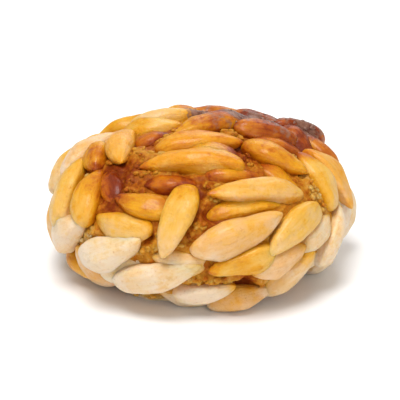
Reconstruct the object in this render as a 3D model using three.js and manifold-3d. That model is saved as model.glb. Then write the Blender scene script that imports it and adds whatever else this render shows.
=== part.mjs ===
// Pine nut marzipan: a small almond-paste ball, slumped and flattened in baking, rolled in pine nuts.
// Millimetres, +Z up. The origin is the middle of the flat base. The face nearest the eye looks along -Y.
// One solid: the paste ball with every nut fused to it where the nut is pressed in.

import * as THREE from "three";
import { mergeVertices } from "three/addons/utils/BufferGeometryUtils.js";
import Module from "manifold-3d";

// ---- Driving dimensions ----

const PASTE = { across: 37.8, deep: 35.6, high: 21.4 }; // the paste ball, before its base is flattened
const BASE_DROP = 8.8; // from the ball's middle down to the flat base
const NUT_LENGTH = 12.4; // a whole kernel
const NUT_GIRTH = 4.7; // its width where it is fattest
const NUT_FLATNESS = 0.86; // its thickness over its width
const NUT_SKEW = 0.75; // under 1 moves the fattest place towards the blunt end
const NUT_FULLNESS = 0.6; // under 1 rounds off the two ends
const NUT_RIDE = 0.2; // how far a nut's middle line lies above the paste
const NUT_HUG = 0.45; // how much of the ball's curve a nut follows: 0 is straight
const SEEN_FROM = 24; // degrees above the horizon at which the nuts below were measured
const GLAZED = { color: 0xe3a858, roughness: 0.45, metalness: 0 }; // the whole, golden under its egg glaze

// ---- The nuts that face the eye ----
// across and up: millimetres from the ball's middle, square to the line of sight.
// turn: in that view, degrees from the right, anticlockwise, from the nut's blunt end to its tip.
// long and fat: the nut's own length and girth. lift: how far it sits above its bed.

const SEEN_NUTS = [
  // the far edge, along the top of the outline, with a burnt nut stacked at its right end
  { across: -15.3, up: 7.5, turn: 46, long: 10.5, fat: 4.6, lift: 0.8 },
  { across: -10.9, up: 11.0, turn: 200, long: 9.8, fat: 4.3, lift: 0.7 },
  { across: -4.6, up: 12.1, turn: 8, long: 11.4, fat: 4.5, lift: 0.6 },
  { across: 3.2, up: 12.7, turn: 182, long: 12.2, fat: 4.6, lift: 0.3 },
  { across: 9.2, up: 11.9, turn: 338, long: 10.8, fat: 4.4, lift: 0.5 },
  { across: 14.9, up: 10.2, turn: 142, long: 10.2, fat: 4.5, lift: 0.6 },
  { across: 14.9, up: 11.2, turn: 164, long: 8.4, fat: 4.4, lift: 2.0 },
  // the upper face, toasted
  { across: -6.6, up: 10.8, turn: 6, long: 9.0, fat: 4.2, lift: 0.1 },
  { across: -0.2, up: 8.5, turn: 3, long: 12.2, fat: 4.5, lift: 0.2 },
  { across: -6.2, up: 8.9, turn: 20, long: 5.8, fat: 3.6, lift: -0.5 },
  { across: -1.1, up: 5.8, turn: 179, long: 14.2, fat: 4.6, lift: 0.8 },
  { across: 10.2, up: 6.7, turn: 334, long: 9.8, fat: 4.4, lift: 0.5 },
  { across: 17.3, up: 6.2, turn: 308, long: 10.6, fat: 4.5, lift: 0.7 },
  { across: -10.3, up: 8.2, turn: 266, long: 10.4, fat: 4.3, lift: 0.5 },
  { across: -17.8, up: 1.8, turn: 72, long: 11.4, fat: 4.9, lift: 0.6 },
  { across: -14.6, up: 1.4, turn: 78, long: 9.4, fat: 4.6, lift: 0.2 },
  { across: -11.8, up: 2.4, turn: 108, long: 7.4, fat: 3.8, lift: -0.7 },
  // the middle of the face
  { across: -7.3, up: 0.3, turn: 166, long: 9.2, fat: 4.2, lift: 0.2 },
  { across: -3.0, up: -1.8, turn: 248, long: 10.8, fat: 5.0, lift: 0.7 },
  { across: 7.6, up: 2.0, turn: 183, long: 14.3, fat: 4.2, lift: 0.5 },
  { across: 4.9, up: -3.3, turn: 22, long: 13.4, fat: 5.0, lift: 0.5 },
  { across: 12.7, up: -3.1, turn: 222, long: 11.6, fat: 4.9, lift: 0.3 },
  { across: -10.2, up: -2.2, turn: 165, long: 9.4, fat: 4.5, lift: 0.1 },
  { across: -4.4, up: 2.8, turn: 178, long: 8.4, fat: 3.9, lift: -0.5 },
  { across: 4.6, up: 3.9, turn: 2, long: 8.8, fat: 3.9, lift: -0.4 },
  { across: 5.8, up: -0.6, turn: 8, long: 10.4, fat: 3.8, lift: -0.6 },
  { across: 19.2, up: 1.2, turn: 96, long: 10.2, fat: 4.5, lift: 0.1 },
  { across: 15.9, up: 3.6, turn: 125, long: 9.4, fat: 4.4, lift: 0.2 },
  // the pale lower face
  { across: -12.1, up: -5.7, turn: 17, long: 11.6, fat: 5.1, lift: 0.6 },
  { across: -19.6, up: -2.6, turn: 104, long: 8.4, fat: 4.4, lift: 0.7 },
  { across: -17.4, up: -3.7, turn: 50, long: 9.4, fat: 5.0, lift: 0.5 },
  { across: -5.8, up: -9.1, turn: 7, long: 13.0, fat: 4.9, lift: 0.4 },
  { across: -2.6, up: -6.9, turn: 172, long: 7.6, fat: 3.8, lift: -0.5 },
  { across: 5.7, up: -7.1, turn: 197, long: 9.8, fat: 4.3, lift: 0.3 },
  { across: 10.6, up: -7.0, turn: 28, long: 8.6, fat: 4.4, lift: 0.1 },
  { across: 5.4, up: -12.3, turn: 11, long: 9.2, fat: 4.6, lift: 0.9 },
  { across: 0.6, up: -11.2, turn: 6, long: 8.6, fat: 4.1, lift: 0.4 },
  { across: 11.8, up: -8.9, turn: 42, long: 9.6, fat: 4.7, lift: 0.2 },
  { across: 15.6, up: -3.6, turn: 50, long: 8.6, fat: 4.0, lift: -0.3 },
  { across: 17.8, up: -3.9, turn: 62, long: 9.6, fat: 4.8, lift: 0.3 },
  { across: -15.2, up: -8.9, turn: 334, long: 9.0, fat: 4.5, lift: 0.5 },
  { across: -4.8, up: -12.1, turn: 172, long: 10.2, fat: 4.4, lift: 0.0 },
];

const LEAST_FACING = 0.45; // nearer the outline than this, a nut's turn gives way to the ball's edge

// Pits between the nuts, in the same view, which no further nut covers.
const PITS = [
  { across: -9.6, up: 4.8, width: 1.2 },
  { across: -7.5, up: 7.9, width: 1.0 },
  { across: 5.0, up: 7.6, width: 1.5 },
  { across: 0.5, up: 1.4, width: 0.8 },
  { across: 1.3, up: -1.0, width: 0.9 },
  { across: -1.7, up: -4.6, width: 0.5 },
  { across: -6.6, up: -3.9, width: 0.6 },
  { across: 5.4, up: -10.2, width: 1.6 },
];

// ---- The nuts of the other sides ----
// Candidates run round the ball on a spiral. Each keeps the turn that leaves it the most room, and is
// kept if its middle line clears its neighbours by the pass's room. Later passes fit shorter nuts between,
// and the last one presses nuts deep into the paste wherever it still shows, on the front too.

const PASSES = [
  { room: 3.2, shorten: 1.0, sunk: 0 },
  { room: 2.8, shorten: 0.9, sunk: 0 },
  { room: 2.5, shorten: 0.76, sunk: 0 },
  { room: 2.3, shorten: 0.6, sunk: 0 },
  { room: 2.6, shorten: 0.8, sunk: 1.6 },
];
const SPIRAL_POINTS = 600;
const FRONT_LEAN = 0.1; // a place that leans to the front by more than this takes only sunk nuts
const GOLDEN_TURN = Math.PI * (3 - Math.sqrt(5));
const TURNS_TRIED = 9;
const LENGTH_SPREAD = 0.14; // each way, as a share of a whole nut
const GIRTH_SPREAD = 0.09;
const LIFT_SPREAD = 0.5; // millimetres that a nut may sit above its bed
const PERCH = 0.25; // how far a crowded nut rises, as a share of what it lacks in room
const TILT_SPREAD = 0.11; // radians that a nut's ends may rise or dig in
const BEND_SPREAD = 0.7; // millimetres of sideways bow at the middle
const LOWEST_MIDDLE = 1.0; // a nut any lower would lie under the base
const CORE_START = 0.16; // the stretch of a nut that counts when room is measured
const CORE_END = 0.8;
const SEED = 20;
const STRIDE = 1664525; // the seeded draw's multiplier and step, and the count of its states
const STEP = 1013904223;
const STATES = 4294967296;

// ---- Faceting ----

const PASTE_FACETS = { around: 26, down: 14 };
const NUT_SIDES = 8;
const NUT_RINGS = [0, 0.07, 0.29, 0.62, 0.89, 1]; // places along a nut, from blunt end to tip
const WELD = 1e-4; // vertices nearer than this are one
const PARALLEL = 1e-9; // two nuts whose middle lines span less than this run side by side

const half = {
  x: PASTE.across / 2,
  y: PASTE.deep / 2,
  z: PASTE.high / 2,
};
const middle = new THREE.Vector3(0, 0, BASE_DROP);
const sight = {
  right: new THREE.Vector3(1, 0, 0),
  up: new THREE.Vector3(0, Math.sin(radians(SEEN_FROM)), Math.cos(radians(SEEN_FROM))),
  away: new THREE.Vector3(0, Math.cos(radians(SEEN_FROM)), -Math.sin(radians(SEEN_FROM))),
};

function radians(degrees) {
  return (degrees * Math.PI) / 180;
}

// A repeatable draw from 0 to 1.
let state = SEED;
function draw() {
  state = (Math.imul(state, STRIDE) + STEP) >>> 0;
  return state / STATES;
}

function spread(width) {
  return (2 * draw() - 1) * width;
}

// The way out of the ball at a point on or near its surface.
function outward(point) {
  const q = point.clone().sub(middle);
  return new THREE.Vector3(q.x / half.x ** 2, q.y / half.y ** 2, q.z / half.z ** 2).normalize();
}

// The point above the paste's surface, at a height, that lies behind a place in the eye's view.
function behind(across, up, height) {
  const start = sight.right.clone().multiplyScalar(across).addScaledVector(sight.up, up);
  const squeeze = (v) =>
    new THREE.Vector3(v.x / (half.x + height), v.y / (half.y + height), v.z / (half.z + height));
  const s = squeeze(start);
  const d = squeeze(sight.away);
  const b = s.dot(d);
  const inside = b * b - d.dot(d) * (s.dot(s) - 1);
  const reach = (-b - Math.sqrt(Math.max(0, inside))) / d.dot(d);
  const q = start.addScaledVector(sight.away, reach);
  // Past the outline there is no such point, so the place is drawn in to the surface's edge.
  return q.divideScalar(squeeze(q).length()).add(middle);
}

// A nut's place: its middle, and the ways along it, out of the ball and to its side.
function place(centre, along, size, pose) {
  const out = outward(centre);
  const flat = along.clone().addScaledVector(out, -along.dot(out)).normalize();
  const tipUp = flat.multiplyScalar(Math.cos(pose.tilt)).addScaledVector(out, Math.sin(pose.tilt));
  const side = new THREE.Vector3().crossVectors(tipUp, out).normalize();
  const top = new THREE.Vector3().crossVectors(side, tipUp);
  return {
    centre,
    along: tipUp,
    side,
    top,
    long: size.long,
    fat: size.fat,
    bow: pose.bow,
    berth: 0, // how much more room than a nut's own it needs
  };
}

function seenNut({ across, up, turn, long, fat, lift }) {
  const centre = behind(across, up, NUT_RIDE + lift);
  const out = outward(centre);
  const along = sight.right
    .clone()
    .multiplyScalar(Math.cos(radians(turn)))
    .addScaledVector(sight.up, Math.sin(radians(turn)));
  // Leaned away from the eye until it lies along the ball, it still has that turn in the view.
  along.addScaledVector(sight.away, along.dot(out) / Math.max(LEAST_FACING, -sight.away.dot(out)));
  const pose = { tilt: spread(TILT_SPREAD), bow: spread(BEND_SPREAD) };
  return place(centre, along, { long, fat }, pose);
}

function pit({ across, up, width }) {
  const still = { tilt: 0, bow: 0 };
  const size = { long: width, fat: 0 };
  return { ...place(behind(across, up, 0), sight.right, size, still), berth: width };
}

// The ends of the stretch of a nut that counts when room is measured.
function core(nut) {
  const at = (t) => nut.centre.clone().addScaledVector(nut.along, (t - 0.5) * nut.long);
  return [at(CORE_START), at(CORE_END)];
}

// The shortest way between two straight stretches.
function gap([a, b], [c, d]) {
  const u = b.clone().sub(a);
  const v = d.clone().sub(c);
  const w = a.clone().sub(c);
  const uu = u.dot(u);
  const uv = u.dot(v);
  const vv = v.dot(v);
  const uw = u.dot(w);
  const vw = v.dot(w);
  const clamp = (x) => Math.min(1, Math.max(0, x));
  const cross = uu * vv - uv * uv;
  let s = cross > PARALLEL ? clamp((uv * vw - vv * uw) / cross) : 0;
  const t = clamp((uv * s + vw) / vv);
  s = clamp((uv * t - uw) / uu);
  return w.addScaledVector(u, s).addScaledVector(v, -t).length();
}

function roomRound(nut, others) {
  const mine = core(nut);
  const room = (other) => gap(mine, core(other)) - other.berth;
  return others.reduce((least, other) => Math.min(least, room(other)), Infinity);
}

function spiralPoint(i) {
  const z = 1 - (2 * (i + 0.5)) / SPIRAL_POINTS;
  const r = Math.sqrt(1 - z * z);
  const bearing = i * GOLDEN_TURN;
  return new THREE.Vector3(
    half.x * r * Math.cos(bearing),
    half.y * r * Math.sin(bearing),
    half.z * z,
  ).add(middle);
}

function allNuts() {
  const nuts = SEEN_NUTS.map(seenNut);
  const pits = PITS.map(pit);
  for (const { room, shorten, sunk } of PASSES) {
    for (let i = 0; i < SPIRAL_POINTS; i++) {
      const point = spiralPoint(i);
      const size = {
        long: NUT_LENGTH * shorten * (1 + spread(LENGTH_SPREAD)),
        fat: NUT_GIRTH * (1 + spread(GIRTH_SPREAD)),
      };
      const lift = LIFT_SPREAD * draw();
      const pose = { tilt: spread(TILT_SPREAD), bow: spread(BEND_SPREAD) };
      const firstTurn = 2 * Math.PI * draw();
      const out = outward(point);
      const listedOnly = -out.y > FRONT_LEAN && sunk === 0;
      if (point.z < LOWEST_MIDDLE || listedOnly) continue;
      const centre = point.clone().addScaledVector(out, NUT_RIDE + lift - sunk);
      const east = new THREE.Vector3(0, 0, 1).cross(out).normalize();
      const north = new THREE.Vector3().crossVectors(out, east);
      let best = null;
      let most = room;
      for (let k = 0; k < TURNS_TRIED; k++) {
        const turn = firstTurn + (k * Math.PI) / TURNS_TRIED;
        const along = east
          .clone()
          .multiplyScalar(Math.cos(turn))
          .addScaledVector(north, Math.sin(turn));
        const nut = place(centre, along, size, pose);
        const free = roomRound(nut, [...pits, ...nuts]);
        if (free >= most) {
          best = nut;
          most = free;
        }
      }
      if (!best) continue;
      best.centre.addScaledVector(out, PERCH * Math.max(0, size.fat - most));
      nuts.push(best);
    }
  }
  return nuts;
}

// A nut's half width at a place along it, as a share of its greatest.
function plumpness(t) {
  return Math.sin(Math.PI * t ** NUT_SKEW) ** NUT_FULLNESS;
}

// One nut: a turned profile, flattened, bowed to its side and curved to hug the ball.
function nutGeometry(nut) {
  const profile = NUT_RINGS.map((t) => {
    const ends = t === 0 || t === 1;
    return new THREE.Vector2(ends ? 0 : (plumpness(t) * nut.fat) / 2, (t - 0.5) * nut.long);
  });
  const geometry = new THREE.LatheGeometry(profile, NUT_SIDES);
  const position = geometry.getAttribute("position");
  // An end drops by this times its distance squared.
  const curve = NUT_HUG / ((PASTE.across + PASTE.deep) / 2);
  for (let i = 0; i < position.count; i++) {
    const y = position.getY(i);
    const bow = nut.bow * (1 - (2 * y / nut.long) ** 2);
    position.setX(i, position.getX(i) + bow);
    position.setZ(i, position.getZ(i) * NUT_FLATNESS - curve * y * y);
  }
  const basis = new THREE.Matrix4().makeBasis(nut.side, nut.along, nut.top);
  return geometry.applyMatrix4(basis.setPosition(nut.centre));
}

const wasm = await Module();
wasm.setup();

// A closed three.js geometry as a solid that can be joined and cut.
function solid(geometry) {
  geometry.deleteAttribute("normal");
  geometry.deleteAttribute("uv");
  const merged = mergeVertices(geometry, WELD);
  return new wasm.Manifold(
    new wasm.Mesh({
      numProp: 3,
      vertProperties: merged.getAttribute("position").array,
      triVerts: new Uint32Array(merged.index.array),
    }),
  );
}

function geometryOf(body) {
  const mesh = body.getMesh();
  const geometry = new THREE.BufferGeometry();
  geometry.setAttribute("position", new THREE.BufferAttribute(mesh.vertProperties, 3));
  geometry.setIndex(new THREE.BufferAttribute(mesh.triVerts, 1));
  geometry.computeVertexNormals();
  return geometry;
}

function pasteBall() {
  const ball = new THREE.SphereGeometry(1, PASTE_FACETS.around, PASTE_FACETS.down);
  ball.rotateX(Math.PI / 2);
  ball.scale(half.x, half.y, half.z);
  ball.translate(middle.x, middle.y, middle.z);
  return solid(ball);
}

// Everything above the surface that the sweet stands on.
function aboveBase() {
  const size = 4 * PASTE.across; // well past the sweet on every side
  return solid(new THREE.BoxGeometry(size, size, size).translate(0, 0, size / 2));
}

// The outer skin of the fused solid: sealed hollows between nuts are filled, and loose scraps dropped.
function outerBody(body) {
  return body.decompose().reduce((a, b) => (b.volume() > a.volume() ? b : a));
}

const fused = allNuts().reduce((body, nut) => body.add(solid(nutGeometry(nut))), pasteBall());
const sweet = new THREE.Mesh(
  geometryOf(outerBody(fused.intersect(aboveBase()))),
  new THREE.MeshStandardMaterial(GLAZED),
);
sweet.name = "pine_nut_marzipan";

const part = new THREE.Group();
part.add(sweet);

export default part;
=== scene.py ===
# Pine nut marzipan: the looks of a small baked almond-paste ball rolled in glazed pine nuts.
# Sizes and places are in millimetres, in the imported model's frame, until a mesh is written in metres.
import math

import bmesh
import bpy
import mathutils
import numpy as np
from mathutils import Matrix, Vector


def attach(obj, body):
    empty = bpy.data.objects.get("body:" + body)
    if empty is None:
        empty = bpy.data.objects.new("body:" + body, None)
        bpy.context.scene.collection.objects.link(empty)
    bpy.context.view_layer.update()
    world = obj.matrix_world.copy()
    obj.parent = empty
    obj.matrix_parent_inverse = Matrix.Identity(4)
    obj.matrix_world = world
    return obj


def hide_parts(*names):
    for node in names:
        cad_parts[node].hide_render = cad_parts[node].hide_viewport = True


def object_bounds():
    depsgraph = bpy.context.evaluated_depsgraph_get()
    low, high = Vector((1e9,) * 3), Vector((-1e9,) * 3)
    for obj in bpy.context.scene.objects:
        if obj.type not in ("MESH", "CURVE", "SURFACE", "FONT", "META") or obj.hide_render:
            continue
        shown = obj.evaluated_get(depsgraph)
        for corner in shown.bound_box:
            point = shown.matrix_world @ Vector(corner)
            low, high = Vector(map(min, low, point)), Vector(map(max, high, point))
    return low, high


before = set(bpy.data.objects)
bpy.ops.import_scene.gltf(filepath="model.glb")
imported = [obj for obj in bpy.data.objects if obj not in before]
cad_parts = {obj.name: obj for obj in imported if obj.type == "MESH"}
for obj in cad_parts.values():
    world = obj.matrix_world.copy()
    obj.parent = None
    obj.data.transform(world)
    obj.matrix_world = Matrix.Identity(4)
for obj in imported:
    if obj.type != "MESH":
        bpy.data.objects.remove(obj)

MM = 0.001
FULL_TURN = 2 * math.pi
SOLID = "pine_nut_marzipan"
CAD_BOX = [list(corner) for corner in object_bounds()]

# ---- The sweet's driving sizes, as its solid has them ----

PASTE = np.array((37.8, 35.6, 21.4))  # the paste ball before its base is flattened: across, deep, high
BASE_DROP = 8.8  # from the ball's middle down to the flat base
NUT_LENGTH = 12.4  # a whole kernel
NUT_GIRTH = 4.7  # its width where it is fattest
NUT_FLATNESS = 0.86  # its thickness over its width
NUT_SKEW = 0.75  # under 1 moves the fattest place towards the blunt end
NUT_FULLNESS = 0.6  # under 1 rounds off the two ends
NUT_RIDE = 0.2  # how far a nut's middle line lies above the paste
NUT_HUG = 0.45  # how much of the ball's curve a nut follows: 0 is straight
SEEN_FROM = math.radians(24)  # the photograph's view, above the horizon

HALF = PASTE / 2
MIDDLE = np.array((0.0, 0.0, BASE_DROP))
RIGHT = np.array((1.0, 0.0, 0.0))
UP = np.array((0.0, math.sin(SEEN_FROM), math.cos(SEEN_FROM)))
AWAY = np.array((0.0, math.cos(SEEN_FROM), -math.sin(SEEN_FROM)))
NUT_CURVE = NUT_HUG / ((PASTE[0] + PASTE[1]) / 2)  # an end drops by this times its distance squared

# The nuts that face the eye: across and up from the ball's middle, square to the line of sight; turn in
# that view, in degrees from the right, anticlockwise, from blunt end to tip; length, girth, lift above
# the bed; and how toasted the nut is, from 0, raw and pale, to 1, dark brown.
# A few toasts also carry painted shade, set darker, and a few carry painted light, set paler against
# shade; those rows say so.
SEEN_NUTS = (
    # the far edge, along the top of the outline, with a burnt nut stacked at its right end
    (-15.3, 7.5, 46, 10.5, 4.6, 0.8, 0.12),
    (-10.9, 11.0, 200, 9.8, 4.3, 0.7, 0.47),
    (-4.6, 12.1, 8, 11.4, 4.5, 0.6, 0.32),
    (3.2, 12.7, 182, 12.2, 4.6, 0.3, 0.66),
    (9.2, 11.9, 338, 10.8, 4.4, 0.5, 0.70),
    (14.9, 10.2, 142, 10.2, 4.5, 0.6, 0.74),
    (14.9, 11.2, 164, 8.4, 4.4, 2.0, 0.70),
    # the upper face, toasted
    (-6.6, 10.8, 6, 9.0, 4.2, 0.1, 0.42),
    (-0.2, 8.5, 3, 12.2, 4.5, 0.2, 0.56),
    (-6.2, 8.9, 20, 5.8, 3.6, -0.5, 0.72),
    (-1.1, 5.8, 179, 14.2, 4.6, 0.8, 0.50),
    (10.2, 6.7, 334, 9.8, 4.4, 0.5, 0.62),
    (17.3, 6.2, 308, 10.6, 4.5, 0.7, 0.71),
    (-10.3, 8.2, 266, 10.4, 4.3, 0.5, 0.34),
    (-17.8, 1.8, 72, 11.4, 4.9, 0.6, 0.42),
    (-14.6, 1.4, 78, 9.4, 4.6, 0.2, 0.56),
    (-11.8, 2.4, 108, 7.4, 3.8, -0.7, 0.50),
    # the middle of the face
    (-7.3, 0.3, 166, 9.2, 4.2, 0.2, 0.60),
    (-3.0, -1.8, 248, 10.8, 5.0, 0.7, 0.34),
    (7.6, 2.0, 183, 14.3, 4.2, 0.5, 0.34),
    (4.9, -3.3, 22, 13.4, 5.0, 0.5, 0.22),
    (12.7, -3.1, 222, 11.6, 4.9, 0.3, 0.34),
    (-10.2, -2.2, 165, 9.4, 4.5, 0.1, 0.36),
    # toast set dark to match the dark band under the nut above it: partly painted shade
    (-4.4, 2.8, 178, 8.4, 3.9, -0.5, 0.76),
    (4.6, 3.9, 2, 8.8, 3.9, -0.4, 0.62),
    # toast raised because this sunk nut lies in shade: painted shade
    (5.8, -0.6, 8, 10.4, 3.8, -0.6, 0.42),
    # toast lowered to pale this nut against the shade at the ball's edge: painted light
    (19.2, 1.2, 96, 10.2, 4.5, 0.1, 0.0),
    (15.9, 3.6, 125, 9.4, 4.4, 0.2, 0.42),
    # the pale lower face
    (-12.1, -5.7, 17, 11.6, 5.1, 0.6, 0.0),
    (-19.6, -2.6, 104, 8.4, 4.4, 0.7, 0.22),
    (-17.4, -3.7, 50, 9.4, 5.0, 0.5, 0.04),
    (-5.8, -9.1, 7, 13.0, 4.9, 0.4, 0.05),
    (-2.6, -6.9, 172, 7.6, 3.8, -0.5, 0.10),
    (5.7, -7.1, 197, 9.8, 4.3, 0.3, 0.44),
    (10.6, -7.0, 28, 8.6, 4.4, 0.1, 0.22),
    (5.4, -12.3, 11, 9.2, 4.6, 0.9, 0.18),
    # toast lowered to pale this nut against the shade at the bottom: painted light
    (0.6, -11.2, 6, 8.6, 4.1, 0.4, 0.0),
    (11.8, -8.9, 42, 9.6, 4.7, 0.2, 0.20),
    (15.6, -3.6, 50, 8.6, 4.0, -0.3, 0.08),
    (17.8, -3.9, 62, 9.6, 4.8, 0.3, 0.0),
    # toast raised for the shadowed lower-left side: painted shade
    (-15.2, -8.9, 334, 9.0, 4.5, 0.5, 0.46),
    (-4.8, -12.1, 172, 10.2, 4.4, 0.0, 0.02),
)

LEAST_FACING = 0.45  # nearer the outline than this, a nut's turn gives way to the ball's edge

# Pits between the nuts, in the same view: across, up, how wide, and how deep the paste lies in them
PITS = (
    (-9.6, 4.8, 1.2, 0.9),
    (-7.5, 7.9, 1.0, 0.8),
    (5.0, 7.6, 1.5, 0.9),
    (0.5, 1.4, 0.8, 0.8),
    (1.3, -1.0, 0.9, 0.9),
    (-1.7, -4.6, 0.5, 0.7),
    (-6.6, -3.9, 0.6, 0.8),
    (5.4, -10.2, 1.6, 2.2),
)

# The nuts of the other sides, by the solid's own rule. Candidates run round the ball on a spiral. Each
# keeps the turn that leaves it the most room, and is kept if that is at least the pass's room.
# A pass has its room, the share of a whole nut's length that it uses, and the depth its nuts are sunk.
PASSES = ((3.2, 1.0, 0.0), (2.8, 0.9, 0.0), (2.5, 0.76, 0.0), (2.3, 0.6, 0.0), (2.6, 0.8, 1.6))
TUCKED_PASSES = ((2.4, 0.85, 0.8), (2.1, 0.62, 0.7))  # more between them, which the solid leaves out
SPIRAL_POINTS = 600
FRONT_LEAN = 0.1  # a place that leans to the front by more than this takes only sunk nuts
GOLDEN_TURN = math.pi * (3 - math.sqrt(5))
TURNS_TRIED = 9
LENGTH_SPREAD = 0.14  # each way, as a share of a whole nut
GIRTH_SPREAD = 0.09
LIFT_SPREAD = 0.5  # how far a nut may sit above its bed
PERCH = 0.25  # how far a crowded nut rises, as a share of what it lacks in room
TILT_SPREAD = 0.11  # radians that a nut's ends may rise or dig in
BEND_SPREAD = 0.7  # sideways bow at the middle
LOWEST_MIDDLE = 1.0  # a nut any lower would lie under the base
CORE_START = 0.16  # the stretch of a nut that counts when room is measured
CORE_END = 0.8
PARALLEL = 1e-9  # two nuts whose middle lines span less than this run side by side
SEED = 20
STRIDE = 1664525  # the seeded draw's multiplier and step, and the count of its states
STEP = 1013904223
STATES = 4294967296

# Nuts pressed flush into the underside, which the solid leaves out too
BASE_POINTS = 260
BASE_REACH = 9.4  # how far from the middle of the base they lie, at most
BASE_HEIGHT = 1.4  # of their middle lines
BASE_LENGTH = 0.82  # as a share of a whole nut's
BASE_TILT = 0.03  # radians
BASE_ROOM = 3.7  # the least room between them
BASE_TOAST = 0.5
BASE_TOAST_SPREAD = 0.12

# ---- Where the sweet is browned ----

# How toasted the nuts that aren't listed are: at the base, and how much more between two heights
LOW_TOAST = 0.12
TOAST_RISE = 0.5
TOAST_HEIGHTS = (3, 19)
TOAST_REACH = 4.5  # how far a listed nut's toasting spreads to its neighbours
USUAL_WEIGHT = 0.25  # the weight of the toasting by height, where a listed nut's own has 1
TOAST_STRAY = 0.08  # how far a nut that isn't listed strays from that

# How the toasting differs over one nut
TOAST_UPWARD = 0.032  # for each millimetre above the nut's middle
TIP_TOAST = 0.12  # towards its tip
TIP_REACH = (0.34, 0.5)  # from its middle, as shares of its length
FLANK_SHADE_TOAST = 0.16  # painted shade down its flanks, darker where the nut dips to the paste
FLANK_SHADE_HEIGHTS = (1.6, 0.3)  # from this high over the paste, where the painted shade starts, to this
CARAMEL_AND_SHADE_ON_NUTS = 0.5  # how much of the caramel and painted shade round it shows on a nut

# How toasted the paste is
PASTE_TOAST = 0.32
PASTE_TOAST_RISE = 0.18
PASTE_TOAST_HEIGHTS = (4, 17)
PASTE_TOAST_SWELL = 0.06
SEEP_AND_SHADE_TOAST = 0.18  # how much browner the paste is right against a nut: painted shade in the crevice, with some glaze that ran down there
SEEP_AND_SHADE_WIDTH = 0.6

NUT_TOPS = 1.5  # how high over the paste the nuts are marked by the places below
# Places in the photograph's view: across, up, reach, strength
SCORCHES = (
    (0.6, 13.1, 3.0, 1.25),
    (3.8, 12.5, 3.3, 1.4),
    (8.0, 12.3, 3.2, 1.2),
    (11.6, 11.4, 3.2, 1.2),
    (15.4, 11.0, 3.4, 1.3),
    (10.0, 10.9, 2.4, 0.75),
)
# Dark brown marks: caramelised glaze, with painted shade in the pits and crevices they sit on and on
# the shadowed lower-left underside
CARAMEL_AND_SHADE = (
    (-11.0, 3.6, 3.2, 0.85),
    (-11.4, 0.0, 1.6, 0.4),
    (-14.2, 5.9, 2.0, 0.15),
    (-7.5, 7.9, 1.5, 0.6),
    (1.0, 11.6, 2.2, 0.4),
    (5.0, 7.6, 1.5, 0.95),
    (6.3, 6.0, 1.1, 0.5),
    (0.4, 1.6, 1.6, 0.4),
    (1.2, -1.2, 1.8, 0.45),
    (-1.4, -4.0, 1.2, 0.25),
    (-6.7, -4.1, 1.0, 0.2),
    (-2.4, 1.6, 2.2, 0.22),
    (9.0, 10.4, 1.6, 0.4),
    (12.3, 9.2, 1.7, 0.6),
    (14.6, 7.2, 2.0, 0.5),
    (17.4, 8.6, 2.2, 0.4),
    (5.4, -10.2, 1.9, 1.0),
    (2.6, -12.5, 1.2, 0.35),
    (2.0, -10.2, 2.4, 0.3),
    (14.4, -5.2, 0.9, 0.35),
    # painted shade on the shadowed lower-left underside
    (-14.2, -9.4, 1.8, 0.4),
)
SCORCH_EVEN = 0.9  # how much of a scorch is even, and how much comes and goes
SCORCH_UNEVEN = 0.35
PATCH_EDGE = (0.5, 1.4)  # from where to where in its uneven field a scorched patch fades in
PATCH_BACK = (9, 12)  # the patches fade in this far behind the sweet's middle
PATCH_HEIGHTS = (9, 14)  # and this high
PATCH_STRENGTH = 0.8
MOST_BURNT = 1.2

# ---- Uneven fields ----
# How wide the swells are, their seed, and how many waves they are made of

DENT_FIELD = (3.4, 8, 14)
FINE_DENT_FIELD = (1.3, 9, 14)
PASTE_SWELL_FIELD = (3.5, 5, 14)
PASTE_TOAST_FIELD = (4, 7, 14)
PASTE_LUMP_FIELD = (1.5, 6, 50)
PASTE_GRAIN_FIELD = (0.75, 12, 60)
SCORCH_FIELD = (5, 11, 14)
PATCH_FIELD = (8, 13, 14)
LUMP_FIELD = (1.2, 3, 14)  # a crumb's or blister's, in its own radii
WAVE_SPREAD = (0.6, 1.6)  # how much coarser or finer than the swells the waves are
NUTS_APART = 500  # how far away in its fields each nut may be shifted, so that no two are alike
LUMPS_APART = 50  # and each crumb or blister in its own

# ---- Helpers ----


class Draws:
    """A repeatable run of draws from 0 to 1."""

    def __init__(self, seed):
        self.state = seed

    def draw(self):
        self.state = (self.state * STRIDE + STEP) % STATES
        return self.state / STATES

    def spread(self, width):
        return (2 * self.draw() - 1) * width


def unit(v):
    return v / np.linalg.norm(v)


def smoothstep(low, high, x):
    t = np.clip((x - low) / (high - low), 0, 1)
    return t * t * (3 - 2 * t)


def swell(points, size, seed, waves):
    """A smooth uneven field, mostly from -1 to 1, whose swells are about this size."""
    rng = np.random.default_rng(seed)
    ways = rng.normal(size=(waves, 3))
    finer = rng.uniform(*WAVE_SPREAD, waves)
    ways *= (finer * math.pi / size / np.linalg.norm(ways, axis=1))[:, None]
    phases = rng.uniform(0, FULL_TURN, waves)
    return np.sin(points @ ways.T + phases).sum(1) / math.sqrt(waves)


def elsewhere(rng, reach):
    """A shift to another place in an uneven field."""
    return rng.uniform(-reach, reach, 3)


def outward(point):
    """The way out of the ball at a point on or near its surface."""
    return unit((point - MIDDLE) / HALF**2)


def behind(across, up, height):
    """The point above the paste's surface, at a height, that lies behind a place in the eye's view."""
    size = HALF + height
    start = RIGHT * across + UP * up
    s = start / size
    d = AWAY / size
    b = s @ d
    inside = b * b - (d @ d) * (s @ s - 1)
    reach = (-b - math.sqrt(max(0.0, inside))) / (d @ d)
    q = start + AWAY * reach
    # Past the outline there is no such point, so the place is drawn in to the surface's edge.
    return q / np.linalg.norm(q / size) + MIDDLE


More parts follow.
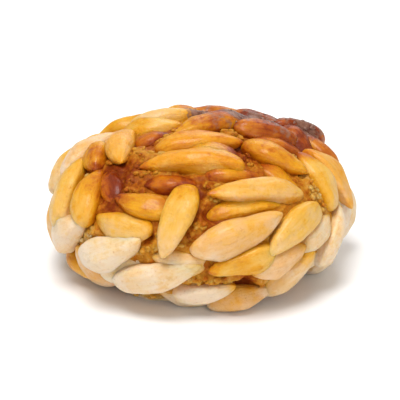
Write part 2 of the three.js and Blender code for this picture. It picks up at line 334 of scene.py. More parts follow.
def near(points, places, height):
    """How strongly each point is marked by the places near it, which lie this high over the paste."""
    most = np.zeros(len(points))
    for across, up, reach, strength in places:
        away = np.linalg.norm(points - behind(across, up, height), axis=1) / reach
        most = np.maximum(most, strength * np.exp(-(away**2)))
    return most


def height_over_paste(points):
    """How far points lie outside the bare paste ball."""
    q = points - MIDDLE
    f = np.linalg.norm(q / HALF, axis=1)
    return (f - 1) * f / np.linalg.norm(q / HALF**2, axis=1)


def scorch(points):
    """How burnt each point is: in broken patches along the far edge, and here and there behind it."""
    uneven = SCORCH_EVEN + SCORCH_UNEVEN * swell(points, *SCORCH_FIELD)
    marked = near(points, SCORCHES, NUT_TOPS) * uneven
    patches = smoothstep(*PATCH_EDGE, swell(points, *PATCH_FIELD))
    behind_top = smoothstep(*PATCH_BACK, points[:, 1]) * smoothstep(*PATCH_HEIGHTS, points[:, 2])
    return np.clip(np.maximum(marked, PATCH_STRENGTH * patches * behind_top), 0, MOST_BURNT)


# ---- Where the nuts lie ----


class Nut:
    """A nut's place: its middle, the ways along it, to its side and to its top, and its size."""

    def __init__(self, centre, along, long, fat, tilt, bow, out=None):
        if out is None:
            out = outward(centre)
        flat = unit(along - out * (along @ out))
        self.along = flat * math.cos(tilt) + out * math.sin(tilt)
        self.side = unit(np.cross(self.along, out))
        self.top = np.cross(self.side, self.along)
        self.centre = centre
        self.long = long
        self.fat = fat
        self.bow = bow
        self.berth = 0.0  # how much more room than a nut's own it needs
        self.listed = False
        self.toast = 0.0

    def core(self):
        """The ends of the stretch that counts when room is measured."""
        return [self.centre + self.along * (t - 0.5) * self.long for t in (CORE_START, CORE_END)]

    def sideways(self, y):
        """How far the nut is bowed to its side, at a distance along it from its middle."""
        return self.bow * (1 - (2 * y / self.long) ** 2)


def seen_nut(draws, across, up, turn, long, fat, lift, toast):
    tilt = draws.spread(TILT_SPREAD)
    bow = draws.spread(BEND_SPREAD)
    angle = math.radians(turn)
    centre = behind(across, up, NUT_RIDE + lift)
    out = outward(centre)
    along = RIGHT * math.cos(angle) + UP * math.sin(angle)
    # Leaned away from the eye until it lies along the ball, it still has that turn in the view.
    along = along + AWAY * (along @ out) / max(LEAST_FACING, -(AWAY @ out))
    nut = Nut(centre, along, long, fat, tilt, bow)
    nut.toast = toast
    nut.listed = True
    return nut


def pit(across, up, width):
    """A pit's place, for the nuts to keep clear of."""
    place = Nut(behind(across, up, 0), RIGHT, width, 0.0, 0.0, 0.0)
    place.berth = width
    return place


def cores(nuts):
    """The middle lines of many nuts, as starts and ends, and their berths."""
    starts, ends = np.array([nut.core() for nut in nuts]).transpose(1, 0, 2)
    return starts, ends, np.array([nut.berth for nut in nuts])


def least_gap(a, b, starts, ends, berths):
    """The least room from one straight stretch to any of many others."""
    u = b - a
    v = ends - starts
    w = a - starts
    uu = u @ u
    uv = v @ u
    vv = (v * v).sum(1)
    uw = w @ u
    vw = (v * w).sum(1)
    cross = uu * vv - uv * uv
    slanted = cross > PARALLEL
    s = np.where(slanted, np.clip((uv * vw - vv * uw) / np.where(slanted, cross, 1), 0, 1), 0)
    t = np.clip((uv * s + vw) / vv, 0, 1)
    s = np.clip((uv * t - uw) / uu, 0, 1)
    return (np.linalg.norm(w + np.outer(s, u) - v * t[:, None], axis=1) - berths).min()


def least_reach(point, starts, ends, berths):
    """The least room from a point to any of many straight stretches."""
    v = ends - starts
    t = np.clip(((point - starts) * v).sum(1) / (v * v).sum(1), 0, 1)
    return (np.linalg.norm(starts + v * t[:, None] - point, axis=1) - berths).min()


def spiral_point(i):
    z = 1 - 2 * (i + 0.5) / SPIRAL_POINTS
    r = math.sqrt(1 - z * z)
    bearing = i * GOLDEN_TURN
    return HALF * np.array((r * math.cos(bearing), r * math.sin(bearing), z)) + MIDDLE


def roomiest(others, room, centre, out, size, pose, first_turn):
    """The nut at this place, turned to where it has the most room, or None if that is too little."""
    long, fat = size
    taken = cores(others)
    if least_reach(centre, *taken) < room:
        return None
    east = unit(np.cross((0, 0, 1), out))
    north = np.cross(out, east)
    best, most = None, room
    for k in range(TURNS_TRIED):
        turn = first_turn + k * math.pi / TURNS_TRIED
        nut = Nut(centre, east * math.cos(turn) + north * math.sin(turn), long, fat, *pose)
        free = least_gap(*nut.core(), *taken)
        if free >= most:
            best, most = nut, free
    if best:
        best.centre = best.centre + out * PERCH * max(0, fat - most)
    return best


def usual_toast(nut, listed):
    """How toasted a nut is at its height, or where it lies near listed nuts, how toasted those are."""
    away = np.linalg.norm(np.array([other.centre for other in listed]) - nut.centre, axis=1)
    share = np.exp(-((away / TOAST_REACH) ** 2))
    by_height = LOW_TOAST + TOAST_RISE * smoothstep(*TOAST_HEIGHTS, nut.centre[2])
    toasts = np.array([other.toast for other in listed])
    return float((by_height * USUAL_WEIGHT + toasts @ share) / (USUAL_WEIGHT + share.sum()))


def all_nuts():
    """The listed nuts, and the others all round the ball."""
    draws = Draws(SEED)
    nuts = [seen_nut(draws, *row) for row in SEEN_NUTS]
    pits = [pit(across, up, width) for across, up, width, _ in PITS]
    for room, shorten, sunk in PASSES + TUCKED_PASSES:
        for i in range(SPIRAL_POINTS):
            point = spiral_point(i)
            size = (
                NUT_LENGTH * shorten * (1 + draws.spread(LENGTH_SPREAD)),
                NUT_GIRTH * (1 + draws.spread(GIRTH_SPREAD)),
            )
            lift = LIFT_SPREAD * draws.draw()
            pose = (draws.spread(TILT_SPREAD), draws.spread(BEND_SPREAD))
            first_turn = FULL_TURN * draws.draw()
            out = outward(point)
            listed_only = -out[1] > FRONT_LEAN and sunk == 0
            if point[2] < LOWEST_MIDDLE or listed_only:
                continue
            centre = point + out * (NUT_RIDE + lift - sunk)
            nut = roomiest(pits + nuts, room, centre, out, size, pose, first_turn)
            if nut:
                nut.toast = usual_toast(nut, nuts[:len(SEEN_NUTS)])
                nuts.append(nut)
    return nuts


def base_nuts():
    """The nuts under the sweet, pressed flat into the paste where it sat on its tray."""
    draws = Draws(SEED)
    down = np.array((0.0, 0.0, -1.0))
    nuts = []
    for i in range(BASE_POINTS):
        reach = BASE_REACH * math.sqrt((i + 0.5) / BASE_POINTS)
        bearing = i * GOLDEN_TURN
        centre = np.array((reach * math.cos(bearing), reach * math.sin(bearing), BASE_HEIGHT))
        turn = FULL_TURN * draws.draw()
        along = np.array((math.cos(turn), math.sin(turn), 0.0))
        long = NUT_LENGTH * (BASE_LENGTH + draws.spread(LENGTH_SPREAD))
        fat = NUT_GIRTH * (1 + draws.spread(GIRTH_SPREAD))
        tilt = draws.spread(BASE_TILT)
        bow = draws.spread(BEND_SPREAD)
        nut = Nut(centre, along, long, fat, tilt, bow, down)
        if nuts and least_gap(*nut.core(), *cores(nuts)) < BASE_ROOM:
            continue
        nut.toast = BASE_TOAST + draws.spread(BASE_TOAST_SPREAD)
        nuts.append(nut)
    return nuts


# ---- Meshes ----

PRESS = 0.22  # how softly the tray flattened what it touched


def add_piece(name, vertices, faces, material):
    """A smooth mesh that stands for the solid. Vertices come in millimetres."""
    mesh = bpy.data.meshes.new(name)
    mesh.from_pydata((vertices * MM).tolist(), [], faces)
    mesh.polygons.foreach_set("use_smooth", [True] * len(mesh.polygons))
    mesh.materials.append(material)
    piece = bpy.data.objects.new(name, mesh)
    bpy.context.scene.collection.objects.link(piece)
    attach(piece, "root")
    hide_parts(SOLID)
    return piece


def store(piece, name, values):
    """Keeps one number, or one vector, for each vertex, for the material to read."""
    kind, key = ("FLOAT_VECTOR", "vector") if values.ndim == 2 else ("FLOAT", "value")
    attribute = piece.data.attributes.new(name, kind, "POINT")
    attribute.data.foreach_set(key, values.astype(np.float32).ravel())


def round_ball(detail):
    """A ball of radius 1, as its vertices and its faces."""
    shape = bmesh.new()
    bmesh.ops.create_icosphere(shape, subdivisions=detail, radius=1)
    vertices = np.array([v.co for v in shape.verts])
    faces = [[v.index for v in face.verts] for face in shape.faces]
    shape.free()
    return vertices, faces


def repeated(pattern, corners, count):
    """The faces of many copies of one shape, whose vertices follow each other."""
    faces = []
    for base in range(0, corners * count, corners):
        faces += [[base + corner for corner in face] for face in pattern]
    return faces


def press(points, rest=0.0):
    """Flattens the points' underside in place, at the tray or a little above it, with soft edges."""
    low = points[:, 2] < rest + PRESS
    points[low, 2] = rest + PRESS * np.exp((points[low, 2] - rest) / PRESS - 1)
    return points


# ---- Pine nuts ----

NUT_SIDES = 28
NUT_RINGS = 27
NUT_SWAY = 0.03  # how oval, how three-sided and how wavy a nut is, as shares of its half width
NUT_FLATS = 4
FLAT_DEPTH = (0.78, 0.95)  # how far from a nut's axis its flats lie, as a share of its half width
FLAT_EDGE = 34  # how crisp the edges between them are
FLAT_STRAY = 0.3  # how far a flat strays round the nut, as a share of the way to the next
FLAT_TWIST = 0.8  # radians that it may turn from the blunt end to the tip
FLAT_FACING = 0.3  # further round than this, a flat's limit no longer grows
CREASE_DEPTH = 0.1  # as a share of the half width, at most
CREASE_WIDTH = 0.22  # radians
DENT_DEPTH = 0.07  # as a share of the half width
FINE_DENT_DEPTH = 0.025


def plumpness(t):
    """A nut's half width at a place along it, as a share of its greatest."""
    return np.sin(math.pi * t**NUT_SKEW) ** NUT_FULLNESS


def nut_section(t, turn, rng):
    """How a nut differs from a plain turned kernel: a little uneven, with flats and a crease."""
    oval, three_sided, lean, wave, crease_at = rng.uniform(0, FULL_TURN, 5)
    shape = 1 + NUT_SWAY * np.cos(2 * turn + oval) + NUT_SWAY * np.cos(3 * turn + three_sided)
    for number in range(NUT_FLATS):
        bearing = (number + rng.uniform(-FLAT_STRAY, FLAT_STRAY)) * FULL_TURN / NUT_FLATS
        twist = rng.uniform(-FLAT_TWIST, FLAT_TWIST) * (t - 0.5)
        facing = np.cos(turn - bearing - twist)
        limit = rng.uniform(*FLAT_DEPTH) / np.maximum(facing, FLAT_FACING)
        shape = -np.logaddexp(-shape * FLAT_EDGE, -limit * FLAT_EDGE) / FLAT_EDGE
    off_crease = (turn - crease_at + math.pi) % FULL_TURN - math.pi
    deepest = rng.uniform(0, CREASE_DEPTH)
    crease = deepest * np.exp(-((off_crease / CREASE_WIDTH) ** 2)) * np.sin(math.pi * t)
    shape += NUT_SWAY * np.cos(turn + lean) * np.sin(3 * math.pi * t + wave) - crease
    return shape


def nut_skin(nut, rng):
    """One nut's vertices in its own axes: to its side, along it and to its top."""
    u = np.linspace(0, 1, NUT_RINGS + 2)[1:-1]
    rings = (1 - np.cos(math.pi * u)) / 2  # closer together towards the ends
    sides = np.arange(NUT_SIDES) * FULL_TURN / NUT_SIDES
    t, turn = np.meshgrid(rings, sides, indexing="ij")
    r = plumpness(t) * nut.fat / 2 * nut_section(t, turn, rng)
    y = (t - 0.5) * nut.long
    body = np.stack((r * np.sin(turn), y, r * np.cos(turn)), axis=2).reshape(-1, 3)
    ends = np.array(((0, -nut.long / 2, 0), (0, nut.long / 2, 0)))
    skin = np.vstack((body, ends))
    dents = DENT_DEPTH * swell(skin + elsewhere(rng, NUTS_APART), *DENT_FIELD)
    dents += FINE_DENT_DEPTH * swell(skin + elsewhere(rng, NUTS_APART), *FINE_DENT_FIELD)
    skin[:, (0, 2)] *= 1 + dents[:, None]
    along = skin[:, 1]
    skin[:, 0] += nut.sideways(along)
    skin[:, 2] = skin[:, 2] * NUT_FLATNESS - NUT_CURVE * along**2
    return skin


def nut_faces():
    """The faces of one nut: rings of quads closed by a fan at each end."""
    faces = []
    first, last = NUT_RINGS * NUT_SIDES, NUT_RINGS * NUT_SIDES + 1
    for side in range(NUT_SIDES):
        after = (side + 1) % NUT_SIDES
        for ring in range(NUT_RINGS - 1):
            low, high = ring * NUT_SIDES, (ring + 1) * NUT_SIDES
            faces.append((low + side, low + after, high + after, high + side))
        top = (NUT_RINGS - 1) * NUT_SIDES
        faces.append((first, after, side))
        faces.append((last, top + side, top + after))
    return faces


def nut_toast(nut, skin, points, rng):
    """How toasted each point of a nut is: more towards the sweet's top and its tip, darker down its
    flanks by painted shade, and darker at the caramel and shade marks.
    """
    middle = nut.toast + (0 if nut.listed else rng.normal(0, TOAST_STRAY))
    upward = TOAST_UPWARD * (points[:, 2] - nut.centre[2])
    tip = TIP_TOAST * smoothstep(*TIP_REACH, skin[:, 1] / nut.long)
    # painted shade, darker down the flanks where the nut dips to the paste
    flank_shade = FLANK_SHADE_TOAST * smoothstep(*FLANK_SHADE_HEIGHTS, height_over_paste(points))
    # caramelised glaze, with painted shade in the pits and crevices
    caramel_and_shade = CARAMEL_AND_SHADE_ON_NUTS * near(points, CARAMEL_AND_SHADE, NUT_TOPS)
    return np.clip(middle + upward + tip + flank_shade + caramel_and_shade, 0, 1)


def build_nuts(nuts, material):
    """Builds all the nuts as one piece. Returns it, its vertices and how burnt each one is."""
    rng = np.random.default_rng(SEED)
    skins, placed, toasts, tones = [], [], [], []
    for nut in nuts:
        skin = nut_skin(nut, rng)
        points = nut.centre + skin @ np.array((nut.side, nut.along, nut.top))
        toasts.append(nut_toast(nut, skin, points, rng))
        tones.append(np.full(len(skin), rng.uniform(0, 1)))
        skins.append(skin + elsewhere(rng, NUTS_APART))
        placed.append(points)
    faces = repeated(nut_faces(), len(skins[0]), len(nuts))
    placed = np.vstack(placed)
    burnt = scorch(placed)
    piece = add_piece("pine_nuts", press(placed), faces, material)
    store(piece, "toast", np.concatenate(toasts))
    store(piece, "tone", np.concatenate(tones))
    store(piece, "burnt", burnt)
    store(piece, "grain", np.vstack(skins))
    return piece, placed, burnt


# ---- Almond paste ----

PASTE_DETAIL = 7  # subdivisions of the paste's ball
PASTE_RISE = 0.3  # how high the paste stands against the nuts pressed into it
PASTE_BULGE = 0.8  # how much higher it was squeezed up in the gaps between them
BULGE_WIDTH = 1.2  # how far from a nut it has risen in full
PASTE_SWELL = 0.1  # how far it swells and sinks
PASTE_LUMP = 0.2  # how deep its coarse roughness goes
PASTE_GRAIN = 0.1  # and its fine one
RIDGE_TOP = 0.8  # how high the ridges stand over the smooth paste, as a share of that depth
PASTE_REST = 0.12  # the nuts under it keep it this far off the tray
SKIN_SAMPLES = np.linspace(0.06, 0.96, 9)  # places along a nut that stand for its skin
CHUNK = 1500  # points measured at once


def nut_balls(nut):
    """A nut as a row of balls: their middles and radii."""
    y = (SKIN_SAMPLES - 0.5) * nut.long
    x = nut.sideways(y)
    z = -NUT_CURVE * y * y
    middles = nut.centre + np.outer(y, nut.along) + np.outer(x, nut.side) + np.outer(z, nut.top)
    return middles, plumpness(SKIN_SAMPLES) * nut.fat / 2 * (1 + NUT_FLATNESS) / 2


def gaps_to_nuts(points, nuts):
    """For each point, its distance to the nearest nut's skin."""
    middles, radii = (np.array(part) for part in zip(*(nut_balls(nut) for nut in nuts)))
    nearest = []
    for start in range(0, len(points), CHUNK):
        away = points[start:start + CHUNK, None, None, :] - middles[None]
        nearest.append((np.sqrt((away * away).sum(3)) - radii[None]).min((1, 2)))
    return np.concatenate(nearest)


def rough(points):
    """The paste's rough skin: fine broken ridges of ground almond with hollows between them."""
    lumps = PASTE_LUMP * (RIDGE_TOP - np.abs(swell(points, *PASTE_LUMP_FIELD)))
    return lumps + PASTE_GRAIN * (RIDGE_TOP - np.abs(swell(points, *PASTE_GRAIN_FIELD)))


def build_paste(nuts, material):
    """Builds the paste. Returns its vertices, their distance to the nuts, and how toasted they are."""
    ball, faces = round_ball(PASTE_DETAIL)
    points = ball * HALF + MIDDLE
    out = (points - MIDDLE) / HALF**2
    out /= np.linalg.norm(out, axis=1)[:, None]
    gap = gaps_to_nuts(points, nuts)
    toast = PASTE_TOAST + PASTE_TOAST_RISE * smoothstep(*PASTE_TOAST_HEIGHTS, points[:, 2])
    toast += PASTE_TOAST_SWELL * swell(points, *PASTE_TOAST_FIELD)
    # browner right against the nuts, painted shade in the crevices with some run glaze; and at the
    # caramel and shade marks
    toast += SEEP_AND_SHADE_TOAST * smoothstep(SEEP_AND_SHADE_WIDTH, 0, gap) + near(points, CARAMEL_AND_SHADE, 0)
    burnt = scorch(points)
    rise = PASTE_RISE + PASTE_BULGE * smoothstep(0, BULGE_WIDTH, gap) - near(points, PITS, 0)
    rise += PASTE_SWELL * swell(points, *PASTE_SWELL_FIELD) + rough(points)
    points += out * rise[:, None]
    piece = add_piece("almond_paste", press(points, PASTE_REST), faces, material)
    toast = np.clip(toast, 0, 1)
    store(piece, "toast", toast)
    store(piece, "burnt", burnt)
    return points, gap, toast


# ---- Crumbs and blisters ----

LUMP_DETAIL = 2
LUMP_LENGTH = (0.8, 1.5)  # a lump's length and width, as shares of its size
LUMP_WIDTH = (0.7, 1.0)
LUMP_UNEVEN = 0.2

CRUMBS = 420
CRUMB_SEED = 31
CRUMB_SIZE = (0.3, 1.0)
CRUMB_FLATNESS = 0.6
CRUMB_ROOM = 0.3  # how far a crumb lies from the nearest nut, at least
CRUMB_HEIGHT = 1  # how high it lies, at least
CRUMB_SHADE = 0.1  # how far its toasting strays from the paste's
PIT_EDGE = 0.2  # crumbs keep out of pits deeper than this

BLISTERS = 150
BLISTER_SEED = 47
BLISTER_SIZE = (0.25, 0.7)
BLISTER_FLATNESS = 0.4
BLISTERED = 0.45  # blisters rise where a nut is burnt by more than this
BLISTER_HEIGHT = 0.8  # and this high over the paste


def build_lumps(name, material, spots, ways_out, sizes, flatness, rng):
    """Small uneven lumps, each sunk by half. Returns the piece and how many vertices each lump has."""
    ball, pattern = round_ball(LUMP_DETAIL)
    parts = []
    for spot, out, size in zip(spots, ways_out, sizes):
        side = unit(np.cross(out, rng.normal(size=3)))
        axes = np.array((side, np.cross(out, side), out))
        stretch = size / 2 * np.array((rng.uniform(*LUMP_LENGTH), rng.uniform(*LUMP_WIDTH), flatness))
        uneven = 1 + LUMP_UNEVEN * swell(ball + elsewhere(rng, LUMPS_APART), *LUMP_FIELD)[:, None]
        parts.append(spot + (ball * uneven * stretch) @ axes)
    faces = repeated(pattern, len(ball), len(parts))
    piece = add_piece(name, press(np.vstack(parts)), faces, material)
    return piece, len(ball)


def build_crumbs(points, gap, toast, material):
    """Crumbs of the paste, lying in the gaps between the nuts."""
    rng = np.random.default_rng(CRUMB_SEED)
    open_gap = (gap > CRUMB_ROOM) & (points[:, 2] > CRUMB_HEIGHT)
    open_paste = np.flatnonzero(open_gap & (near(points, PITS, 0) < PIT_EDGE))
    chosen = rng.choice(open_paste, CRUMBS, replace=False)
    spots = points[chosen]
    ways_out = np.array([outward(spot) for spot in spots])
    sizes = rng.uniform(*CRUMB_SIZE, CRUMBS)
    piece, corners = build_lumps(
        "paste_crumbs", material, spots, ways_out, sizes, CRUMB_FLATNESS, rng
    )
    shade = np.clip(toast[chosen] + rng.normal(0.0, CRUMB_SHADE, CRUMBS), 0, 1)
    store(piece, "toast", np.repeat(shade, corners))
    store(piece, "burnt", np.repeat(scorch(spots), corners))


def build_blisters(nut_piece, points, burnt, material):
    """Blisters of burnt glaze, crowded where the nuts are scorched."""
    rng = np.random.default_rng(BLISTER_SEED)
    bare = np.flatnonzero((burnt > BLISTERED) & (height_over_paste(points) > BLISTER_HEIGHT))
    chosen = rng.choice(bare, BLISTERS, replace=False)
    spots = points[chosen]
    ways_out = np.array([nut_piece.data.vertices[i].normal for i in chosen.tolist()])
    sizes = rng.uniform(*BLISTER_SIZE, BLISTERS)
    build_lumps(
        "glaze_blisters", material, spots, ways_out, sizes, BLISTER_FLATNESS, rng
    )


# ---- Materials ----


def srgb(red, green, blue):
    """A colour as seen on a screen, 0 to 255, as Blender's linear numbers."""
    share = np.array((red, green, blue)) / 255
    linear = np.where(share <= 0.04045, share / 12.92, ((share + 0.055) / 1.055) ** 2.4)
    return (*linear.tolist(), 1.0)


# From raw to scorched: how toasted, and its colour
TOAST_COLOURS = (
    (0.0, srgb(224, 206, 178)),
    (0.15, srgb(223, 195, 150)),
    (0.28, srgb(218, 178, 116)),
    (0.42, srgb(218, 170, 76)),
    (0.58, srgb(212, 150, 20)),
    (0.76, srgb(186, 108, 4)),
    (0.92, srgb(152, 68, 2)),
    (1.0, srgb(120, 44, 2)),
)
PASTE_COLOURS = (
    (0.0, srgb(226, 206, 168)),
    (0.25, srgb(206, 160, 84)),
    (0.5, srgb(192, 128, 32)),
    (0.75, srgb(166, 88, 10)),
    (1.0, srgb(124, 46, 0)),
)
FLECK_COLOUR = srgb(176, 96, 22)
TONE_COLOUR = srgb(255, 232, 220)  # what a nut's own tone is tinted with
TONE_SHARE = 0.7
SCORCH_COLOUR = srgb(144, 104, 84)
SCORCH_DEPTH = srgb(92, 48, 32)

# Noises: scale, detail and roughness. The nuts' are per millimetre and the others' per metre.
STREAKS = (1.0, 6.0, 0.65)
STREAK_STRETCH = (1.7, 0.2, 1.7)  # drawn out along the nut
BLUSH = (0.24, 2.0, 0.5)
BLOTCHES = (0.75, 3.0, 0.6)
FLECKS = (2.6, 3.0, 0.6)
NUT_DIMPLES = (0.9, 4.0, 0.55)
NUT_CRUST = (0.6, 5.0, 0.62)
MEAL = (1500.0, 5.0, 0.62)
PASTE_CLOUD = (260.0, 3.0, 0.55)
PASTE_CRUST = (700.0, 5.0, 0.62)
GLAZE_CLOUD = (900.0, 4.0, 0.55)

# Ranges of a noise's values, which lie mostly about 0.5
MOST = (0.3, 0.7)
MIDDLE_PART = (0.35, 0.65)
BLOTCH_RANGE = (0.52, 0.72)
FLECK_RANGE = (0.6, 0.76)
CRUST_RANGE = (0.4, 0.62)

# What each noise changes, over such a range: the toasting, a share, or the roughness
BLUSH_TOAST = (-0.11, 0.13)
STREAK_TOAST = (-0.07, 0.08)
BLOTCH_TOAST = (0.0, 0.14)
FLECK_SHARE = (0.0, 0.4)
CLOUD_TOAST = (-0.1, 0.12)
MEAL_TOAST = (-0.14, 0.14)
CRUST_BREAK = (-0.5, 0.4)
NUT_ROUGHNESS = (0.34, 0.5)
PASTE_ROUGHNESS = (0.35, 0.6)
GLAZE_ROUGHNESS = (0.25, 0.5)

# Over which range of how burnt a place is the crust closes, and the toasting round it grows
CRUST_CLOSES = (0.3, 0.8)
SINGE_GROWS = (0.1, 0.8)
SINGE_TOAST = (0.0, 0.26)

# Relief: strength, and height in metres
STREAK_RELIEF = (0.6, 0.0004)
DIMPLE_RELIEF = (0.5, 0.0006)
MEAL_RELIEF = (0.8, 0.0006)
CLOUD_RELIEF = (0.4, 0.001)
GLAZE_RELIEF = (0.4, 0.0004)

# Light passes a little way into nuts and paste, red the furthest. The scale is in metres.
SEE_THROUGH = {
    "Subsurface Weight": 0.35,
    "Subsurface Radius": (1.0, 0.6, 0.25),
    "Subsurface Scale": 0.0016,
}

# The egg glaze is a clear coat: thin on the nuts, a trace on the paste, and burnt in the blisters
NUT_GLAZE = {"Specular IOR Level": 0.14, "Coat Weight": 0.25, "Coat Roughness": 0.2}
PASTE_GLAZE = {"Specular IOR Level": 0.1, "Coat Weight": 0.03, "Coat Roughness": 0.2}
BURNT_GLAZE = {"Coat Weight": 0.2}


class Graph:
    """A material's nodes, made and joined in few words."""

    def __init__(self, name):
        self.material = bpy.data.materials.new(name)
        self.material.use_nodes = True
        self.tree = self.material.node_tree
        self.shader = self.tree.nodes["Principled BSDF"]

    def add(self, kind, settings=(), **inputs):
        """A node with its settings and inputs, which go by name, or by number after an underscore."""
        node = self.tree.nodes.new(kind)
        for key, value in dict(settings).items():
            setattr(node, key, value)
        for key, value in inputs.items():
            self.feed(node.inputs[int(key[1:]) if key[1:].isdigit() else key], value)
        return node

    def feed(self, socket, value):
        """Joins a socket to another one, or sets it to a constant."""
        if isinstance(value, bpy.types.NodeSocket):
            self.tree.links.new(value, socket)
        else:
            socket.default_value = value

    def shade(self, sockets):
        """Feeds the shader's own sockets, by name, and returns the material."""
        for name, value in sockets.items():
            self.feed(self.shader.inputs[name], value)
        return self.material

    def attribute(self, name, output="Fac"):
        return self.add("ShaderNodeAttribute", {"attribute_name": name}).outputs[output]

    def math(self, operation, a, b):
        return self.add("ShaderNodeMath", {"operation": operation}, _0=a, _1=b).outputs[0]

    def noise(self, place, scale, detail, roughness):
        inputs = {"Vector": place, "Scale": scale, "Detail": detail, "Roughness": roughness}
        return self.add("ShaderNodeTexNoise", **inputs).outputs["Fac"]

    def range(self, value, low, high, new_low=0.0, new_high=1.0, smooth=False):
        settings = {"interpolation_type": "SMOOTHSTEP" if smooth else "LINEAR"}
        inputs = {"_0": value, "_1": low, "_2": high, "_3": new_low, "_4": new_high}
        return self.add("ShaderNodeMapRange", settings, **inputs).outputs[0]

    def ramp(self, value, stops):
        node = self.add("ShaderNodeValToRGB", Fac=value)
        elements = node.color_ramp.elements
        while len(elements) < len(stops):
            elements.new(0.5)
        for element, (place, colour) in zip(elements, stops):
            element.position = place
            element.color = colour
        return node.outputs["Color"]

    def mix(self, share, a, b, blend="MIX"):
        node = self.add("ShaderNodeMix", {"data_type": "RGBA", "blend_type": blend})
        for name, value in (("Factor_Float", share), ("A_Color", a), ("B_Color", b)):
            socket = next(s for s in node.inputs if s.identifier == name)
            self.feed(socket, value)
        return next(s for s in node.outputs if s.identifier == "Result_Color")

    def stretched(self, place, scale):
        return self.add("ShaderNodeMapping", Vector=place, Scale=scale).outputs[0]

    def bump(self, height, strength, distance, normal=None):
        node = self.add("ShaderNodeBump", Strength=strength, Distance=distance, Height=height)
        if normal:
            self.feed(node.inputs["Normal"], normal)
        return node.outputs[0]


def scorched(graph, colour, place, crust_noise):
    """A colour with the scorched crust laid over it, with a broken edge."""
    ragged = graph.noise(place, *crust_noise)
    broken = graph.range(ragged, *MIDDLE_PART, *CRUST_BREAK)
    burnt = graph.math("ADD", graph.attribute("burnt"), broken)
    share = graph.range(burnt, *CRUST_CLOSES, smooth=True)
    crust = graph.mix(graph.range(ragged, *CRUST_RANGE), SCORCH_DEPTH, SCORCH_COLOUR)
    return graph.mix(share, colour, crust)


def singed(graph, toast):
    """Toasts a surface further round its scorched places."""
    more = graph.range(graph.attribute("burnt"), *SINGE_GROWS, *SINGE_TOAST, smooth=True)
    return graph.math("ADD", toast, more)


def nut_material():
    """Pine nut: pale to deeply toasted, finely grained along its length, under a thin egg glaze."""
    g = Graph("toasted_pine_nut")
    grain = g.attribute("grain", "Vector")
    streaks = g.noise(g.stretched(grain, STREAK_STRETCH), *STREAKS)
    blush = g.noise(grain, *BLUSH)
    blotches = g.noise(grain, *BLOTCHES)
    flecks = g.noise(grain, *FLECKS)
    toast = g.math("ADD", g.attribute("toast"), g.range(blush, *MOST, *BLUSH_TOAST))
    toast = g.math("ADD", toast, g.range(streaks, *MOST, *STREAK_TOAST))
    toast = g.math("ADD", toast, g.range(blotches, *BLOTCH_RANGE, *BLOTCH_TOAST))
    colour = g.ramp(singed(g, toast), TOAST_COLOURS)
    colour = g.mix(g.range(flecks, *FLECK_RANGE, *FLECK_SHARE), colour, FLECK_COLOUR)
    tone = g.math("MULTIPLY", g.attribute("tone"), TONE_SHARE)
    colour = g.mix(tone, colour, TONE_COLOUR, "MULTIPLY")
    relief = g.bump(streaks, *STREAK_RELIEF)
    relief = g.bump(g.noise(grain, *NUT_DIMPLES), *DIMPLE_RELIEF, relief)
    return g.shade({
        "Base Color": scorched(g, colour, grain, NUT_CRUST),
        "Roughness": g.range(streaks, *MOST, *NUT_ROUGHNESS),
        "Normal": relief,
        **NUT_GLAZE,
        **SEE_THROUGH,
    })


def paste_material():
    """Baked almond paste: grainy, golden to brown, with a trace of the egg glaze."""
    g = Graph("almond_paste")
    place = g.add("ShaderNodeTexCoord").outputs["Object"]
    meal = g.noise(place, *MEAL)
    cloud = g.noise(place, *PASTE_CLOUD)
    toast = g.math("ADD", g.attribute("toast"), g.range(cloud, *MOST, *CLOUD_TOAST))
    toast = g.math("ADD", toast, g.range(meal, *MIDDLE_PART, *MEAL_TOAST))
    colour = g.ramp(singed(g, toast), PASTE_COLOURS)
    relief = g.bump(cloud, *CLOUD_RELIEF, g.bump(meal, *MEAL_RELIEF))
    return g.shade({
        "Base Color": scorched(g, colour, place, PASTE_CRUST),
        "Roughness": g.range(cloud, *MOST, *PASTE_ROUGHNESS),
        "Normal": relief,
        **PASTE_GLAZE,
        **SEE_THROUGH,
    })


def blister_material():
    """Burnt egg glaze: dark brown to greyish brown, bubbled and shiny."""
    g = Graph("burnt_glaze")
    place = g.add("ShaderNodeTexCoord").outputs["Object"]
    cloud = g.noise(place, *GLAZE_CLOUD)
    return g.shade({
        "Base Color": g.mix(g.range(cloud, *MIDDLE_PART), SCORCH_DEPTH, SCORCH_COLOUR),
        "Roughness": g.range(cloud, *MOST, *GLAZE_ROUGHNESS),
        "Normal": g.bump(cloud, *GLAZE_RELIEF),
        **BURNT_GLAZE,
    })


# ---- Floor, light and camera, in metres ----

FLOOR_WIDTH = 3
FLOOR_COLOUR = (0.9, 0.9, 0.9, 1)
FLOOR_ROUGHNESS = 0.8
SKY_COLOUR = (1, 1, 1, 1)
SKY_STRENGTH = 0.42
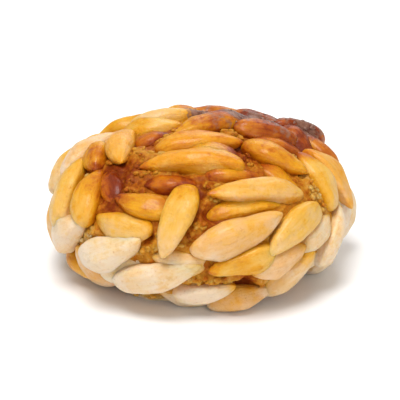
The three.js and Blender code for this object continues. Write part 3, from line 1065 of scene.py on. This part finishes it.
# Each lamp's name, place, width and power
LAMPS = (
    ("key", (-0.06, -0.14, 0.5), 0.3, 2.55),
    ("fill", (0.16, -0.6, 0.24), 0.5, 1.1),
    ("back", (0.12, 0.5, 0.34), 0.4, 1.0),
)
LENS = 180.0  # this and the sensor are in the camera's own millimetres
SENSOR = 36.0
FILL_OF_FRAME = 0.78  # the sweet's share of the picture's width
AIM = (0.0, 0.0, 0.0098)  # what the camera and the lamps look at


def build_floor():
    bpy.ops.mesh.primitive_plane_add(size=FLOOR_WIDTH)
    floor = bpy.context.object
    floor.name = "floor"
    pale = Graph("pale_floor").shade({"Base Color": FLOOR_COLOUR, "Roughness": FLOOR_ROUGHNESS})
    floor.data.materials.append(pale)


def build_lamp(name, place, width, power):
    light = bpy.data.lights.new(name, "AREA")
    light.shape = "DISK"
    light.size = width
    light.energy = power
    lamp = bpy.data.objects.new(name, light)
    lamp.location = place
    aim = np.array(AIM) - np.array(place)
    lamp.rotation_mode = "QUATERNION"
    lamp.rotation_quaternion = mathutils.Vector(aim).to_track_quat("-Z", "Y")
    bpy.context.scene.collection.objects.link(lamp)


def build_sky():
    world = bpy.data.worlds.new("studio")
    world.use_nodes = True
    background = world.node_tree.nodes["Background"]
    background.inputs["Color"].default_value = SKY_COLOUR
    background.inputs["Strength"].default_value = SKY_STRENGTH
    bpy.context.scene.world = world


def build_camera():
    """The photograph's view, from far off with a long lens."""
    camera = bpy.data.cameras.new("camera")
    camera.lens = LENS
    camera.sensor_width = SENSOR
    eye = bpy.data.objects.new("camera", camera)
    width = (CAD_BOX[1][0] - CAD_BOX[0][0]) / FILL_OF_FRAME
    distance = width * LENS / SENSOR
    back = mathutils.Vector((-AWAY).tolist())
    eye.location = mathutils.Vector(AIM) + back * distance
    eye.rotation_mode = "QUATERNION"
    eye.rotation_quaternion = (-back).to_track_quat("-Z", "Y")
    bpy.context.scene.collection.objects.link(eye)
    bpy.context.scene.camera = eye


build_camera()
build_floor()
build_sky()
for lamp_row in LAMPS:
    build_lamp(*lamp_row)
bpy.context.scene.view_settings.view_transform = "Standard"

nuts = all_nuts() + base_nuts()
scorched_nuts = build_nuts(nuts, nut_material())
paste_finish = paste_material()
build_crumbs(*build_paste(nuts, paste_finish), paste_finish)
build_blisters(*scorched_nuts, blister_material())
